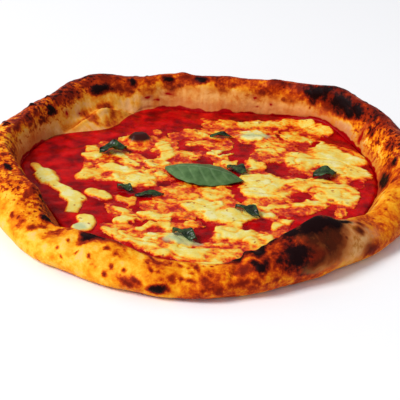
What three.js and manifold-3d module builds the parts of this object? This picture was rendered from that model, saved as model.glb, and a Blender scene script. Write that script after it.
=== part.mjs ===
// A margherita pizza about 30 cm across, baked in a wood-fired oven: a thin base with a high,
// uneven rim, tomato sauce, melted mozzarella, baked basil and one fresh basil leaf on top.
// Millimetres, +Z up. The base lies flat on z = 0, and the middle of the outline is on the Z axis.

import * as THREE from "three";
import { mergeVertices } from "three/addons/utils/BufferGeometryUtils.js";
import Module from "manifold-3d";

const wasm = await Module();
wasm.setup();

// ---------------------------------------------------------------- driving sizes, mm and degrees

const BASE_THICKNESS = 3.5; // baked dough under the sauce
const SAUCE_THICKNESS = 2;
const SAUCE_EDGE_THICKNESS = 0.5; // where it thins out on the rim's inner wall
const CHEESE_THICKNESS = 2.2; // in the middle of a melted piece
const TOUCH_GAP = 0.3; // between pieces that lie on each other
const SAUCE_TOP = BASE_THICKNESS + TOUCH_GAP + SAUCE_THICKNESS;
const CHEESE_FLOOR = SAUCE_TOP + TOUCH_GAP;
const FLAT_SHARE = 0.82; // of the sauce's radius, as far as the base is flat everywhere
const SAUCE_LAP = 0.6; // how far the sauce runs up the wall, on average

// How the hand-stretched rim swells and thins on its way round. At each angle: the radius where
// the inner wall leaves the base, the radius and height of the crest, and the widest radius. They
// are measured from a point near the middle of the sauce, and so is every x and y below.
const RIM = [
  { angle: 0, foot: 119, crest: 134, height: 27, widest: 150 },
  { angle: 20, foot: 124, crest: 140, height: 31, widest: 155 },
  { angle: 38, foot: 130, crest: 142, height: 34, widest: 159 },
  { angle: 52, foot: 129, crest: 138, height: 33, widest: 155 },
  { angle: 68, foot: 120, crest: 131, height: 29, widest: 147 },
  { angle: 88, foot: 106, crest: 126, height: 28, widest: 140 },
  { angle: 104, foot: 112, crest: 128, height: 27, widest: 142 },
  { angle: 116, foot: 111, crest: 128, height: 26, widest: 143 },
  { angle: 130, foot: 111, crest: 136, height: 28, widest: 150 },
  { angle: 148, foot: 112, crest: 128, height: 27, widest: 143 },
  { angle: 166, foot: 116, crest: 128, height: 26, widest: 143 },
  { angle: 184, foot: 117, crest: 130, height: 27, widest: 147 },
  { angle: 200, foot: 112, crest: 124, height: 27, widest: 146 },
  { angle: 214, foot: 108, crest: 122, height: 25, widest: 146 },
  { angle: 227, foot: 113, crest: 129, height: 18, widest: 148 },
  { angle: 239, foot: 111, crest: 125, height: 21, widest: 147 },
  { angle: 258, foot: 114, crest: 129, height: 18, widest: 146 },
  { angle: 274, foot: 116, crest: 130, height: 17, widest: 145 },
  { angle: 284, foot: 113, crest: 125, height: 19, widest: 141 },
  { angle: 296, foot: 105, crest: 118, height: 26, widest: 137 },
  { angle: 309, foot: 103, crest: 117, height: 28, widest: 135 },
  { angle: 320, foot: 105, crest: 119, height: 23, widest: 137 },
  { angle: 332, foot: 109, crest: 123, height: 20, widest: 141 },
  { angle: 346, foot: 113, crest: 129, height: 23, widest: 145 },
];
const WALL_CURVE = 1.3; // over 1, the inner wall leaves the base in a hollow curve
const WIDEST_SHARE = 0.42; // of the crest's height, where the rim is widest
const TURN_UNDER = 10; // how far the flat underside stays inside the widest radius

// The rim's surface is numbered on its way out: 0 at the sauce, 1 on the crest, 2 where the rim
// is widest, 3 where it meets the flat underside.
const WALL_ROWS = 9;
const OUTER_ROWS = 5;
const LOWER_ROWS = 3;
const STEPS_ROUND = 128;

// A fold of dough that came down over the edge of the sauce, long along the rim. It leans back, so
// it is higher by the rim than by the sauce.
const FOLD = { x: -76, y: 76, turn: 43, halfLength: 38, halfWidth: 15, height: 9, lean: 0.3 };
const FOLD_FILLET = 3; // where it runs into the wall
const HELD_BACK = { angle: 136, halfAngle: 22, depth: 17 }; // the sauce's edge, along the fold

// Domes blown up by gas under the skin of the rim: place on the rim's surface, size and height.
const BLISTERS = [
  { angle: 309, along: 0.9, radius: 17, height: 3.5 },
  { angle: 302, along: 1.7, radius: 17, height: 2.5 },
  { angle: 286, along: 1.5, radius: 14, height: 3 },
  { angle: 284, along: 0.8, radius: 8, height: 2 },
  { angle: 262, along: 1.8, radius: 18, height: 1.5 },
  { angle: 240, along: 1.2, radius: 15, height: 1.5 },
  { angle: 216, along: 0.9, radius: 10, height: 2 },
  { angle: 134, along: 0.35, radius: 11, height: 2.5 },
  { angle: 127, along: 1.1, radius: 16, height: 1.5 },
  { angle: 98, along: 1.1, radius: 9, height: 2 },
  { angle: 46, along: 1.0, radius: 18, height: 2.5 },
  { angle: 66, along: 0.9, radius: 10, height: 1.5 },
];
const SWELL = { height: 0.9, roundTheRim: [13, 7], upTheRim: [2, 2.2] }; // soft unevenness everywhere

// Melted pieces of mozzarella: middle, half-length, half-width and the turn of their length. Each
// one's outline waves in and out by these shares of its size, as often as it has lobes.
const OUTLINE_WAVES = [{ lobes: 3, share: 0.1 }, { lobes: 5, share: 0.06 }];
const THICKNESS_SHARES = { least: 0.8, most: 1.2, steps: 9 }; // no two neighbours are as thick
const CUSHION_GRID = { sides: 12, rows: 4 };
const CHEESE_SHEET = [
  { x: -69, y: 20, long: 22, wide: 10, turn: 80 },
  { x: -60, y: -6, long: 21, wide: 14, turn: -8 },
  { x: -50, y: 14, long: 18, wide: 8, turn: -50 },
  { x: -45, y: 46, long: 17, wide: 13, turn: 20 },
  { x: -34, y: -6, long: 19, wide: 11, turn: -12 },
  { x: -26, y: 36, long: 24, wide: 9, turn: 82 },
  { x: -22, y: 12, long: 17, wide: 11, turn: 10 },
  { x: -7, y: 62, long: 19, wide: 10, turn: 20 },
  { x: -6, y: 30, long: 18, wide: 8, turn: 20 },
  { x: 14, y: 78, long: 20, wide: 14, turn: 70 },
  { x: 12, y: 48, long: 16, wide: 10, turn: 80 },
  { x: 16, y: 24, long: 16, wide: 9, turn: -50 },
  { x: 38, y: 72, long: 21, wide: 17, turn: 10 },
  { x: 50, y: 92, long: 20, wide: 9, turn: 5 },
  { x: 70, y: 96, long: 14, wide: 9, turn: -10 },
  { x: 73, y: 76, long: 20, wide: 15, turn: 60 },
  { x: 88, y: 46, long: 29, wide: 18, turn: 8 },
  { x: 53, y: 48, long: 23, wide: 14, turn: 75 },
  { x: 38, y: 24, long: 19, wide: 9, turn: 72 },
  { x: 100, y: 14, long: 25, wide: 12, turn: 98 },
  { x: 70, y: 20, long: 20, wide: 9, turn: 88 },
  { x: 44, y: 4, long: 19, wide: 12, turn: 5 },
  { x: 76, y: 0, long: 26, wide: 9, turn: 3 },
  { x: 52, y: -16, long: 27, wide: 13, turn: -5 },
  { x: 80, y: -18, long: 20, wide: 8, turn: 62 },
  { x: 98, y: -16, long: 22, wide: 8, turn: 80 },
  { x: 93, y: -35, long: 14, wide: 4.5, turn: 76 },
  { x: 70, y: -35, long: 18, wide: 8, turn: 32 },
  { x: 42, y: -38, long: 20, wide: 11, turn: 20 },
  { x: -8, y: -28, long: 23, wide: 17, turn: 10 },
  { x: 12, y: -38, long: 18, wide: 14, turn: 30 },
  { x: 22, y: -53, long: 22, wide: 11, turn: 15 },
  { x: 24, y: -72, long: 22, wide: 10, turn: 62 },
  { x: 50, y: -56, long: 17, wide: 9, turn: 65 },
  { x: 46, y: -76, long: 18, wide: 11, turn: 35 },
  { x: 28, y: -92, long: 20, wide: 11, turn: 40 },
  { x: -16, y: -52, long: 21, wide: 14, turn: -20 },
  { x: -42, y: -60, long: 19, wide: 8, turn: -32 },
  { x: -16, y: -72, long: 23, wide: 10, turn: 12 },
  { x: -8, y: -91, long: 26, wide: 13, turn: 4 },
  { x: -40, y: -85, long: 21, wide: 10, turn: -35 },
  { x: 12, y: -104, long: 20, wide: 9, turn: -6 },
];
const LOOSE_CHEESE = {
  cheese_crescent: [
    { x: -102, y: -11, long: 14, wide: 5.5, turn: -60 },
    { x: -92, y: -28, long: 15, wide: 6, turn: -45 },
    { x: -77, y: -45, long: 16, wide: 5.5, turn: -72 },
  ],
  cheese_oval: [{ x: -63, y: -38, long: 10, wide: 7, turn: -45 }],
  cheese_scrap: [
    { x: -69, y: -68, long: 8, wide: 5, turn: -75 },
    { x: -68, y: -79, long: 7, wide: 6, turn: 0 },
  ],
};
// Bare red sauce shows through the sheet here.
const SHEET_GAPS = [
  { x: -37, y: 27, long: 13, wide: 4.5, turn: -65 },
  { x: -11, y: 46, long: 9, wide: 5, turn: 80 },
  { x: 27, y: 34, long: 14, wide: 7, turn: 75 },
  { x: 53, y: 21, long: 8, wide: 6, turn: 10 },
  { x: 107, y: 7, long: 6, wide: 4, turn: 60 },
  { x: 67, y: -20, long: 8, wide: 5.5, turn: 15 },
  { x: 19, y: -19, long: 13, wide: 5, turn: -12 },
  { x: 41, y: -60, long: 8, wide: 6, turn: 50 },
  { x: 4, y: -79, long: 7, wide: 4.5, turn: -40 },
];
const GAP_SIDES = 10;
const SCORCHED_BUBBLE = { x: -45, y: 46, long: 8, wide: 6.4, height: 6 }; // blown up under the sheet
const BUBBLE_GRID = { sides: 12, rows: 8 };

// Basil. The fresh leaf was laid on after baking, the others went through the oven.
const LEAF_THICKNESS = 0.5;
const LEAF_GAP = 1.5 * TOUCH_GAP; // under the lowest point of a leaf
const FRESH_LEAF = { x: 3, y: -3, length: 54, width: 35, turn: -11, cup: -6, wave: 0.7, droop: 5 };
const BAKED_LEAVES = [
  { x: 24, y: 9, length: 15, width: 9, turn: -40, cup: 1.5, wave: 0.5, droop: 1 },
  { x: -64, y: 26, length: 19, width: 10, turn: 62, cup: 1.5, wave: 0.5, droop: 1 },
  { x: 13, y: 64, length: 15, width: 5, turn: 8, cup: 1, wave: 0.4, droop: 1 },
  { x: 85, y: 14, length: 17, width: 10, turn: 55, cup: 1.5, wave: 0.5, droop: 1 },
  { x: -47, y: -30, length: 11, width: 5, turn: -30, cup: 0.8, wave: 0.3, droop: 0.6 },
  { x: -33, y: -34, length: 17, width: 7, turn: 15, cup: 1, wave: 0.4, droop: 1 },
  { x: 32, y: -48, length: 17, width: 7, turn: -38, cup: 1, wave: 0.4, droop: 1 },
  { x: -7, y: -82, length: 18, width: 7, turn: -32, cup: 1, wave: 0.4, droop: 1 },
];
const FRESH_LEAF_GRID = { steps: 14, strips: 6 };
const BAKED_LEAF_GRID = { steps: 7, strips: 4 };

const COLOURS = {
  crust: "#d9892f",
  sauce: "#b30d10",
  cheese: "#f4cf63",
  freshLeaf: "#4f7d46",
  bakedLeaf: "#26331c",
};

// ---------------------------------------------------------------- small helpers

const radians = THREE.MathUtils.degToRad;
const clamp = THREE.MathUtils.clamp;

// The larger of two heights, with a fillet about `blend` wide where they cross.
function softMax(a, b, blend) {
  const overlap = Math.max(blend - Math.abs(a - b), 0) / blend;
  return Math.max(a, b) + (overlap * overlap * blend) / 4;
}

// A round dome of height 1 that meets its surroundings without an edge.
function dome(distance) {
  return distance < 1 ? (1 - distance * distance) ** 2 : 0;
}

// Position of (x, y) along and across a shape that is turned by `turn` degrees.
function inShape(shape, x, y) {
  const c = Math.cos(radians(shape.turn));
  const s = Math.sin(radians(shape.turn));
  return [c * (x - shape.x) + s * (y - shape.y), c * (y - shape.y) - s * (x - shape.x)];
}

// A closed surface through rings of points, from a pole on top to a pole underneath. Each square is
// split along one diagonal, and from the ring `underside` on along the other, so that a skin's
// underside has the same triangles as the surface that it lies on.
function closedShell(top, rings, bottom, underside = rings.length) {
  const points = [top, ...rings.flat(), bottom];
  const count = rings[0].length;
  const vertex = (row, step) => 1 + row * count + (step % count);
  const index = [];
  for (let step = 0; step < count; step += 1) {
    index.push(0, vertex(0, step), vertex(0, step + 1));
    for (let row = 0; row + 1 < rings.length; row += 1) {
      const [a, b] = [vertex(row, step), vertex(row, step + 1)];
      const [c, d] = [vertex(row + 1, step), vertex(row + 1, step + 1)];
      index.push(...(row < underside ? [a, c, d, a, d, b] : [a, c, b, b, c, d]));
    }
    index.push(vertex(rings.length - 1, step + 1), vertex(rings.length - 1, step), points.length - 1);
  }
  return new THREE.BufferGeometry().setFromPoints(points).setIndex(index);
}

function solidOf(geometry) {
  const bare = geometry.clone();
  bare.deleteAttribute("normal");
  bare.deleteAttribute("uv");
  const merged = mergeVertices(bare, 1e-4);
  const vertProperties = new Float32Array(merged.attributes.position.array);
  const triVerts = new Uint32Array(merged.index.array);
  return new wasm.Manifold(new wasm.Mesh({ numProp: 3, vertProperties, triVerts }));
}

function geometryOf(solid) {
  const mesh = solid.getMesh();
  const position = new THREE.BufferAttribute(new Float32Array(mesh.vertProperties), 3);
  const index = new THREE.BufferAttribute(new Uint32Array(mesh.triVerts), 1);
  return new THREE.BufferGeometry().setAttribute("position", position).setIndex(index);
}

// The largest body of a solid that joining and cutting may have left in several.
function largestBody(solid) {
  return solid.decompose().reduce((best, body) => (body.volume() > best.volume() ? body : best));
}

function namedMesh(name, geometry, colour, roughness) {
  geometry.computeVertexNormals();
  const material = new THREE.MeshStandardMaterial({ color: colour, roughness, metalness: 0 });
  const mesh = new THREE.Mesh(geometry, material);
  mesh.name = name;
  return mesh;
}

// ---------------------------------------------------------------- the rim's form

// The rim's sizes at an angle, on a smooth curve through the rows of RIM.
function rimAt(degrees) {
  const turn = ((degrees % 360) + 360) % 360;
  const count = RIM.length;
  const row = (i) => {
    const wrapped = ((i % count) + count) % count;
    return { ...RIM[wrapped], angle: RIM[wrapped].angle + (360 * (i - wrapped)) / count };
  };
  let here = count - 1;
  while (RIM[here].angle > turn) here -= 1;
  const [before, start, end, after] = [row(here - 1), row(here), row(here + 1), row(here + 2)];
  const span = end.angle - start.angle;
  const t = (turn - start.angle) / span;
  const sizes = {};
  for (const key of ["foot", "crest", "height", "widest"]) {
    const slopeIn = ((end[key] - before[key]) / (end.angle - before.angle)) * span;
    const slopeOut = ((after[key] - start[key]) / (after.angle - start.angle)) * span;
    sizes[key] =
      start[key] * (1 + 2 * t) * (1 - t) ** 2 +
      end[key] * (3 - 2 * t) * t * t +
      slopeIn * t * (1 - t) ** 2 +
      slopeOut * t * t * (t - 1);
  }
  return sizes;
}

function foldHeight(x, y) {
  const [along, across] = inShape(FOLD, x, y);
  const roundness = dome(Math.hypot(along / FOLD.halfLength, across / FOLD.halfWidth));
  return FOLD.height * roundness * (1 + (FOLD.lean * across) / FOLD.halfWidth);
}

// Height of the dough's upper side, from the middle of the base up to the crest.
function innerHeight(degrees, radius) {
  const rim = rimAt(degrees);
  const climb = clamp((radius - rim.foot) / (rim.crest - rim.foot), 0, 1);
  const rise = (rim.height - BASE_THICKNESS) * Math.sin((climb * Math.PI) / 2) ** WALL_CURVE;
  const x = radius * Math.cos(radians(degrees));
  const y = radius * Math.sin(radians(degrees));
  const fold = foldHeight(x, y);
  return BASE_THICKNESS + (fold > 0 ? softMax(rise, fold, FOLD_FILLET) : rise);
}

// Where the sauce stops: it laps a little way up the wall, and the fold holds it back.
function sauceEdge(degrees) {
  const turn = radians(degrees);
  const lap = SAUCE_LAP * (1 + Math.sin(5 * turn + 3.75) + 0.7 * Math.sin(11 * turn + 5.1));
  const off = (degrees - HELD_BACK.angle) / HELD_BACK.halfAngle;
  const held = Math.abs(off) < 1 ? (1 + Math.cos(Math.PI * off)) / 2 : 0;
  return rimAt(degrees).foot + lap * (1 - held) - HELD_BACK.depth * held ** 0.8;
}

// A point of the rim's smooth form, as distance from the centre and height.
function rimProfile(degrees, along) {
  const rim = rimAt(degrees);
  const widestHeight = WIDEST_SHARE * rim.height;
  const arc = ((along % 1) * Math.PI) / 2;
  if (along < 1) {
    const radius = THREE.MathUtils.lerp(sauceEdge(degrees), rim.crest, along);
    return [radius, innerHeight(degrees, radius)];
  }
  if (along < 2) {
    const radius = rim.crest + (rim.widest - rim.crest) * Math.sin(arc);
    return [radius, widestHeight + (rim.height - widestHeight) * Math.cos(arc)];
  }
  if (along < 3) {
    const radius = rim.widest - TURN_UNDER * (1 - Math.cos(arc));
    return [radius, widestHeight * (1 - Math.sin(arc))];
  }
  return [rim.widest - TURN_UNDER, 0];
}

function onRim(degrees, [radius, height]) {
  const turn = radians(degrees);
  return new THREE.Vector3(radius * Math.cos(turn), radius * Math.sin(turn), height);
}

const blisterCentres = BLISTERS.map(({ angle, along }) => onRim(angle, rimProfile(angle, along)));

// How far the baked skin stands out from the smooth form at a point of it.
function relief(point, degrees, along) {
  const turn = radians(degrees);
  const [many, few] = SWELL.roundTheRim;
  const [slow, quick] = SWELL.upTheRim;
  let out = SWELL.height * Math.sin(many * turn + slow * along) * Math.sin(few * turn + quick * along);
  BLISTERS.forEach(({ radius, height }, i) => {
    out += height * dome(point.distanceTo(blisterCentres[i]) / radius);
  });
  return out * Math.min(1, 3 * along, 2 * (3 - along)); // none at the sauce or the underside
}

function rimPoint(degrees, along) {
  const nudge = 0.02;
  const smooth = rimProfile(degrees, along);
  const [r0, z0] = rimProfile(degrees, Math.max(along - nudge, 0));
  const [r1, z1] = rimProfile(degrees, Math.min(along + nudge, 3));
  const out = relief(onRim(degrees, smooth), degrees, along) / Math.hypot(r1 - r0, z1 - z0);
  return onRim(degrees, [smooth[0] - (z1 - z0) * out, smooth[1] + (r1 - r0) * out]);
}

// ---------------------------------------------------------------- crust and sauce

const angles = Array.from({ length: STEPS_ROUND }, (_, step) => (360 * step) / STEPS_ROUND);
const ring = (pointAt) => angles.map(pointAt);
const spread = (count, from, to) =>
  Array.from({ length: count }, (_, i) => from + ((to - from) * (i + 1)) / count);

// The dough's upper side under the sauce, at a share of the way to the sauce's edge.
function underSauce(degrees, share) {
  const radius = share * sauceEdge(degrees);
  return onRim(degrees, [radius, innerHeight(degrees, radius)]);
}
const HALFWAY_SHARE = (1 + FLAT_SHARE) / 2;

function crustGeometry() {
  const stations = [
    ...spread(WALL_ROWS, 0, 1),
    ...spread(OUTER_ROWS, 1, 2),
    ...spread(LOWER_ROWS, 2, 3),
  ];
  const rings = [
    ring((degrees) => underSauce(degrees, FLAT_SHARE)),
    ring((degrees) => underSauce(degrees, HALFWAY_SHARE)),
    ring((degrees) => underSauce(degrees, 1)),
    ...stations.map((along) => ring((degrees) => rimPoint(degrees, along))),
  ];
  const middle = new THREE.Vector3(0, 0, BASE_THICKNESS);
  return closedShell(middle, rings, new THREE.Vector3());
}

// The sauce covers the base evenly and thins out where it laps on to the wall.
function sauceGeometry() {
  const above = (share, lift) => ring((degrees) => {
    const point = underSauce(degrees, share);
    return point.setZ(point.z + lift);
  });
  const upper = [
    above(FLAT_SHARE, TOUCH_GAP + SAUCE_THICKNESS),
    above(HALFWAY_SHARE, TOUCH_GAP + SAUCE_THICKNESS),
    above(1, TOUCH_GAP + SAUCE_EDGE_THICKNESS),
  ];
  const lower = [above(1, TOUCH_GAP), above(HALFWAY_SHARE, TOUCH_GAP), above(FLAT_SHARE, TOUCH_GAP)];
  const top = new THREE.Vector3(0, 0, SAUCE_TOP);
  const bottom = new THREE.Vector3(0, 0, BASE_THICKNESS + TOUCH_GAP);
  return closedShell(top, [...upper, ...lower], bottom, upper.length);
}

// ---------------------------------------------------------------- cheese

// A melted piece: a flat cushion with a wavy outline, its middle on the plane it lies on.
function meltedPiece({ x, y, long, wide, turn }, number) {
  const cushion = new THREE.SphereGeometry(1, CUSHION_GRID.sides, CUSHION_GRID.rows);
  const position = cushion.attributes.position;
  const { least, most, steps } = THICKNESS_SHARES;
  const step = (number % steps) / (steps - 1);
  const thickness = CHEESE_THICKNESS * THREE.MathUtils.lerp(least, most, step);
  for (let i = 0; i < position.count; i += 1) {
    const [px, py, pz] = [position.getX(i), position.getZ(i), -position.getY(i)];
    const around = Math.atan2(py, px);
    let size = 1;
    OUTLINE_WAVES.forEach(({ lobes, share }, wave) => {
      size += share * Math.sin(lobes * around + (wave + 1) * number);
    });
    const fullness = Math.sign(pz) * Math.abs(pz) ** 0.7; // over the round of a true ellipsoid
    position.setXYZ(i, px * size * long, py * size * wide, fullness * thickness);
  }
  cushion.rotateZ(radians(turn)).translate(x, y, CHEESE_FLOOR);
  return solidOf(cushion);
}

function domedPiece({ x, y, long, wide, height }) {
  const bubble = new THREE.SphereGeometry(1, BUBBLE_GRID.sides, BUBBLE_GRID.rows);
  return solidOf(bubble.scale(long, wide, height).translate(x, y, CHEESE_FLOOR));
}

// Taller than any cheese and wider than the pizza, for what is cut away.
const CUTTER_HEIGHT = 20;
const CUTTER_WIDTH = 400;

// A column through the sheet, for a gap.
function column({ x, y, long, wide, turn }) {
  const prism = new THREE.CylinderGeometry(1, 1, CUTTER_HEIGHT, GAP_SIDES).rotateX(Math.PI / 2);
  return solidOf(prism.scale(long, wide, 1).rotateZ(radians(turn)).translate(x, y, CHEESE_FLOOR));
}

// What the cheese lies on: the plane over the sauce, and the sauce and dough that climb the wall.
function groundUnderCheese(crust, sauce) {
  const slab = new THREE.BoxGeometry(CUTTER_WIDTH, CUTTER_WIDTH, CUTTER_HEIGHT);
  slab.translate(0, 0, CHEESE_FLOOR - CUTTER_HEIGHT / 2);
  const [crustAndGap, sauceAndGap] = [crust, sauce].map((g) => g.clone().translate(0, 0, TOUCH_GAP));
  return [slab, crustAndGap, sauce, sauceAndGap].map(solidOf).reduce((a, b) => a.add(b));
}

function cheeseGeometry(pieces, ground, extra = [], gaps = []) {
  const joined = [...pieces.map(meltedPiece), ...extra.map(domedPiece)].reduce((a, b) => a.add(b));
  const pierced = gaps.map(column).reduce((sheet, gap) => sheet.subtract(gap), joined);
  return geometryOf(largestBody(pierced.subtract(ground)));
}

// ---------------------------------------------------------------- basil

// A leaf as a thin wavy solid, tip to tip along X before it is turned. It is bent along its midrib,
// edges up where cup is positive, its edges ripple by wave, and its ends hang down by droop.
const TIP_WIDTH = 0.05; // of the leaf's width
function leafPoint({ length, width, cup, wave, droop }, share, side) {
  const outline = Math.sin(Math.PI * share ** 0.85) ** 0.8; // widest nearer the stalk
  const half = (width / 2) * Math.max(outline, TIP_WIDTH);
  const bend = cup * Math.abs(side) ** 1.4 * Math.sin(Math.PI * share);
  const ripple = wave * Math.sin(9 * share + 2 * side) * Math.abs(side);
  const height = bend + ripple - droop * (2 * share - 1) ** 2;
  return new THREE.Vector3(length * (share - 0.5), half * side, height);
}

// Both faces have the same grid of triangles, and a strip of them closes the edge all round.
function leafGeometry(leaf, { steps, strips }) {
  const points = [];
  for (const lift of [LEAF_THICKNESS, 0]) {
    for (let i = 0; i <= steps; i += 1) {
      for (let j = 0; j <= strips; j += 1) {
        const point = leafPoint(leaf, i / steps, (2 * j) / strips - 1);
        points.push(point.setZ(point.z + lift));
      }
    }
  }
  const layer = (steps + 1) * (strips + 1);
  const at = (i, j) => i * (strips + 1) + j;
  const index = [];
  for (let i = 0; i < steps; i += 1) {
    for (let j = 0; j < strips; j += 1) {
      const nearHalf = [at(i, j), at(i + 1, j), at(i + 1, j + 1)];
      const farHalf = [at(i, j), at(i + 1, j + 1), at(i, j + 1)];
      for (const corners of [nearHalf, farHalf]) {
        index.push(...corners, ...corners.map((k) => k + layer).reverse());
      }
    }
  }
  const edge = [];
  for (let i = 0; i < steps; i += 1) edge.push(at(i, 0));
  for (let j = 0; j < strips; j += 1) edge.push(at(steps, j));
  for (let i = steps; i > 0; i -= 1) edge.push(at(i, strips));
  for (let j = strips; j > 0; j -= 1) edge.push(at(0, j));
  edge.forEach((here, k) => {
    const next = edge[(k + 1) % edge.length];
    index.push(here, here + layer, next + layer, here, next + layer, next);
  });
  const geometry = new THREE.BufferGeometry().setFromPoints(points).setIndex(index);
  return geometry.rotateZ(radians(leaf.turn)).translate(leaf.x, leaf.y, 0);
}

// Lets a leaf down until some point of it is a gap above what lies under it.
const OVER_EVERYTHING = 100;
function settledLeaf(leaf, grid, below) {
  const geometry = leafGeometry(leaf, grid);
  const ray = new THREE.Raycaster();
  const down = new THREE.Vector3(0, 0, -1);
  const position = geometry.attributes.position;
  let drop = Infinity;
  for (let i = position.count / 2; i < position.count; i += 1) {
    const above = new THREE.Vector3().fromBufferAttribute(position, i).setZ(OVER_EVERYTHING);
    ray.set(above, down);
    const [hit] = ray.intersectObjects(below, false);
    if (hit) drop = Math.min(drop, position.getZ(i) - hit.point.z);
  }
  return geometry.translate(0, 0, LEAF_GAP - drop);
}

// ---------------------------------------------------------------- the pizza

const pizza = new THREE.Group();

const crust = crustGeometry();
pizza.add(namedMesh("crust", crust, COLOURS.crust, 0.7));
const sauce = sauceGeometry();
pizza.add(namedMesh("sauce", sauce, COLOURS.sauce, 0.3));

const ground = groundUnderCheese(crust, sauce);
const sheet = cheeseGeometry(CHEESE_SHEET, ground, [SCORCHED_BUBBLE], SHEET_GAPS);
pizza.add(namedMesh("cheese_sheet", sheet, COLOURS.cheese, 0.4));
for (const [name, pieces] of Object.entries(LOOSE_CHEESE)) {
  pizza.add(namedMesh(name, cheeseGeometry(pieces, ground), COLOURS.cheese, 0.4));
}

const toppings = pizza.children.filter((mesh) => mesh.name !== "crust");
const freshLeaf = settledLeaf(FRESH_LEAF, FRESH_LEAF_GRID, toppings);
pizza.add(namedMesh("fresh_leaf", freshLeaf, COLOURS.freshLeaf, 0.6));
BAKED_LEAVES.forEach((leaf, i) => {
  const name = `baked_leaf_${i + 1}`;
  const geometry = settledLeaf(leaf, BAKED_LEAF_GRID, toppings);
  pizza.add(namedMesh(name, geometry, COLOURS.bakedLeaf, 0.5));
});

// The outline isn't a true circle, so the middle of its box is brought on to the Z axis.
const middle = new THREE.Box3().setFromObject(pizza).getCenter(new THREE.Vector3());
pizza.position.set(-middle.x, -middle.y, 0);
const part = new THREE.Group().add(pizza);

export default part;
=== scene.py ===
# %% [markdown]
# # A wood-fired margherita pizza
# The solids of the pizza come in as a fixed frame: a rim of dough, a disc of sauce, pieces of
# melted cheese and leaves of basil. They have the right sizes and places, but few faces and no
# finish. Each cell below makes the finely shaped piece that stands for one of them.

# %% Load the frame
import math
from functools import partial

import bmesh
import bpy
import numpy as np
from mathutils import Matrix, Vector
from mathutils.bvhtree import BVHTree


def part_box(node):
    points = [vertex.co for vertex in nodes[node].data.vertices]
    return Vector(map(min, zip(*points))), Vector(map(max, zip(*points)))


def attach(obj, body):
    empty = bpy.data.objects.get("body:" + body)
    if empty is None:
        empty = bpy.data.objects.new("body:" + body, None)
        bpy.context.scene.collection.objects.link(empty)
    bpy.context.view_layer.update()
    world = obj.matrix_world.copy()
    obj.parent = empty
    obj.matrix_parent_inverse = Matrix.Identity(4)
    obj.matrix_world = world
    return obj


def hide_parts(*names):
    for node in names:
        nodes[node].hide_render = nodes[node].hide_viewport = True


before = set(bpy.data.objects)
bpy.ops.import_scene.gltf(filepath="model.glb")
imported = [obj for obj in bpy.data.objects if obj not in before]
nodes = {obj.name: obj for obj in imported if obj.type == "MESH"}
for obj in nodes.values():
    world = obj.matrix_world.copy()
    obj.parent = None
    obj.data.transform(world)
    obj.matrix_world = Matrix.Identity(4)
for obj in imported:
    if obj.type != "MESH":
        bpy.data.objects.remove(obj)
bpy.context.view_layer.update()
MM = 0.001  # lengths below are in millimetres, Blender's are in metres

# %% [markdown]
# Meshes here hold up to a hundred thousand points. Numpy reads and writes all of them in one
# call, where a Python loop over the vertices would take seconds each time.

# %% Read and write many points at once
def points_of(mesh):
    """The mesh's vertices in mm, one row each."""
    flat = np.empty(3 * len(mesh.vertices), np.float32)
    mesh.vertices.foreach_get("co", flat)
    return flat.reshape(-1, 3).astype(float) / MM


def set_points(mesh, points):
    mesh.vertices.foreach_set("co", (points * MM).astype(np.float32).ravel())
    mesh.update()


def paint(mesh, **layers):
    """Stores one number per vertex under each name, for the materials to read."""
    for name, values in layers.items():
        layer = mesh.attributes.new(name, "FLOAT", "POINT")
        layer.data.foreach_set("value", np.asarray(values, np.float32).ravel())


def smooth_step(low, high, values):
    share = np.clip((values - low) / (high - low), 0, 1)
    return share * share * (3 - 2 * share)


sauce_corners = points_of(nodes["sauce"].data)
print("corners of the sauce's triangles:", len(sauce_corners))

# %% [markdown]
# Baked dough and melted cheese are uneven at every size. A cloud is soft random unevenness:
# random numbers on a cubic lattice, blended between the lattice points, at a few sizes added up.
# The numbers come from one seed, so the pizza bakes the same way on every run.

# %% Soft random unevenness
LATTICE_SIDE = 48
LATTICE = np.random.default_rng(11).uniform(-1, 1, (LATTICE_SIDE,) * 3)
SEED_SHIFT, OCTAVE_SHIFT = 7.31, 3.7  # lattice steps, so that no two clouds look alike
FADE = 1.8  # each finer size counts this many times less


def cloud(points, size, octaves=2, seed=0):
    """Values from about -1 to 1 at points in mm, changing over `size` mm and less."""
    total, most = 0, 0
    for octave in range(octaves):
        place = points / size * 2**octave + SEED_SHIFT * seed + OCTAVE_SHIFT * octave
        low = np.floor(place)
        share = smooth_step(0, 1, place - low)
        low = low.astype(int)
        value = 0
        for corner in np.ndindex(2, 2, 2):
            near = np.prod([share[..., k] if corner[k] else 1 - share[..., k] for k in range(3)], axis=0)
            at = tuple((low[..., k] + corner[k]) % LATTICE_SIDE for k in range(3))
            value = value + near * LATTICE[at]
        total, most = total + value / FADE**octave, most + 1 / FADE**octave
    return total / most


sample = cloud(sauce_corners, 10)
print("a cloud over the sauce:", sample.min().round(2), "to", sample.max().round(2))

# %% [markdown]
# The rim was shaped by turning: each solid that goes all the way round is a fan of sections about
# one centre. Read back as sections, its shape can be followed by a smooth curve through the same
# points, both up the section and round the pizza, which is what makes facets into dough.

# %% Read a turned solid as sections
SECTIONS = 128


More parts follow.
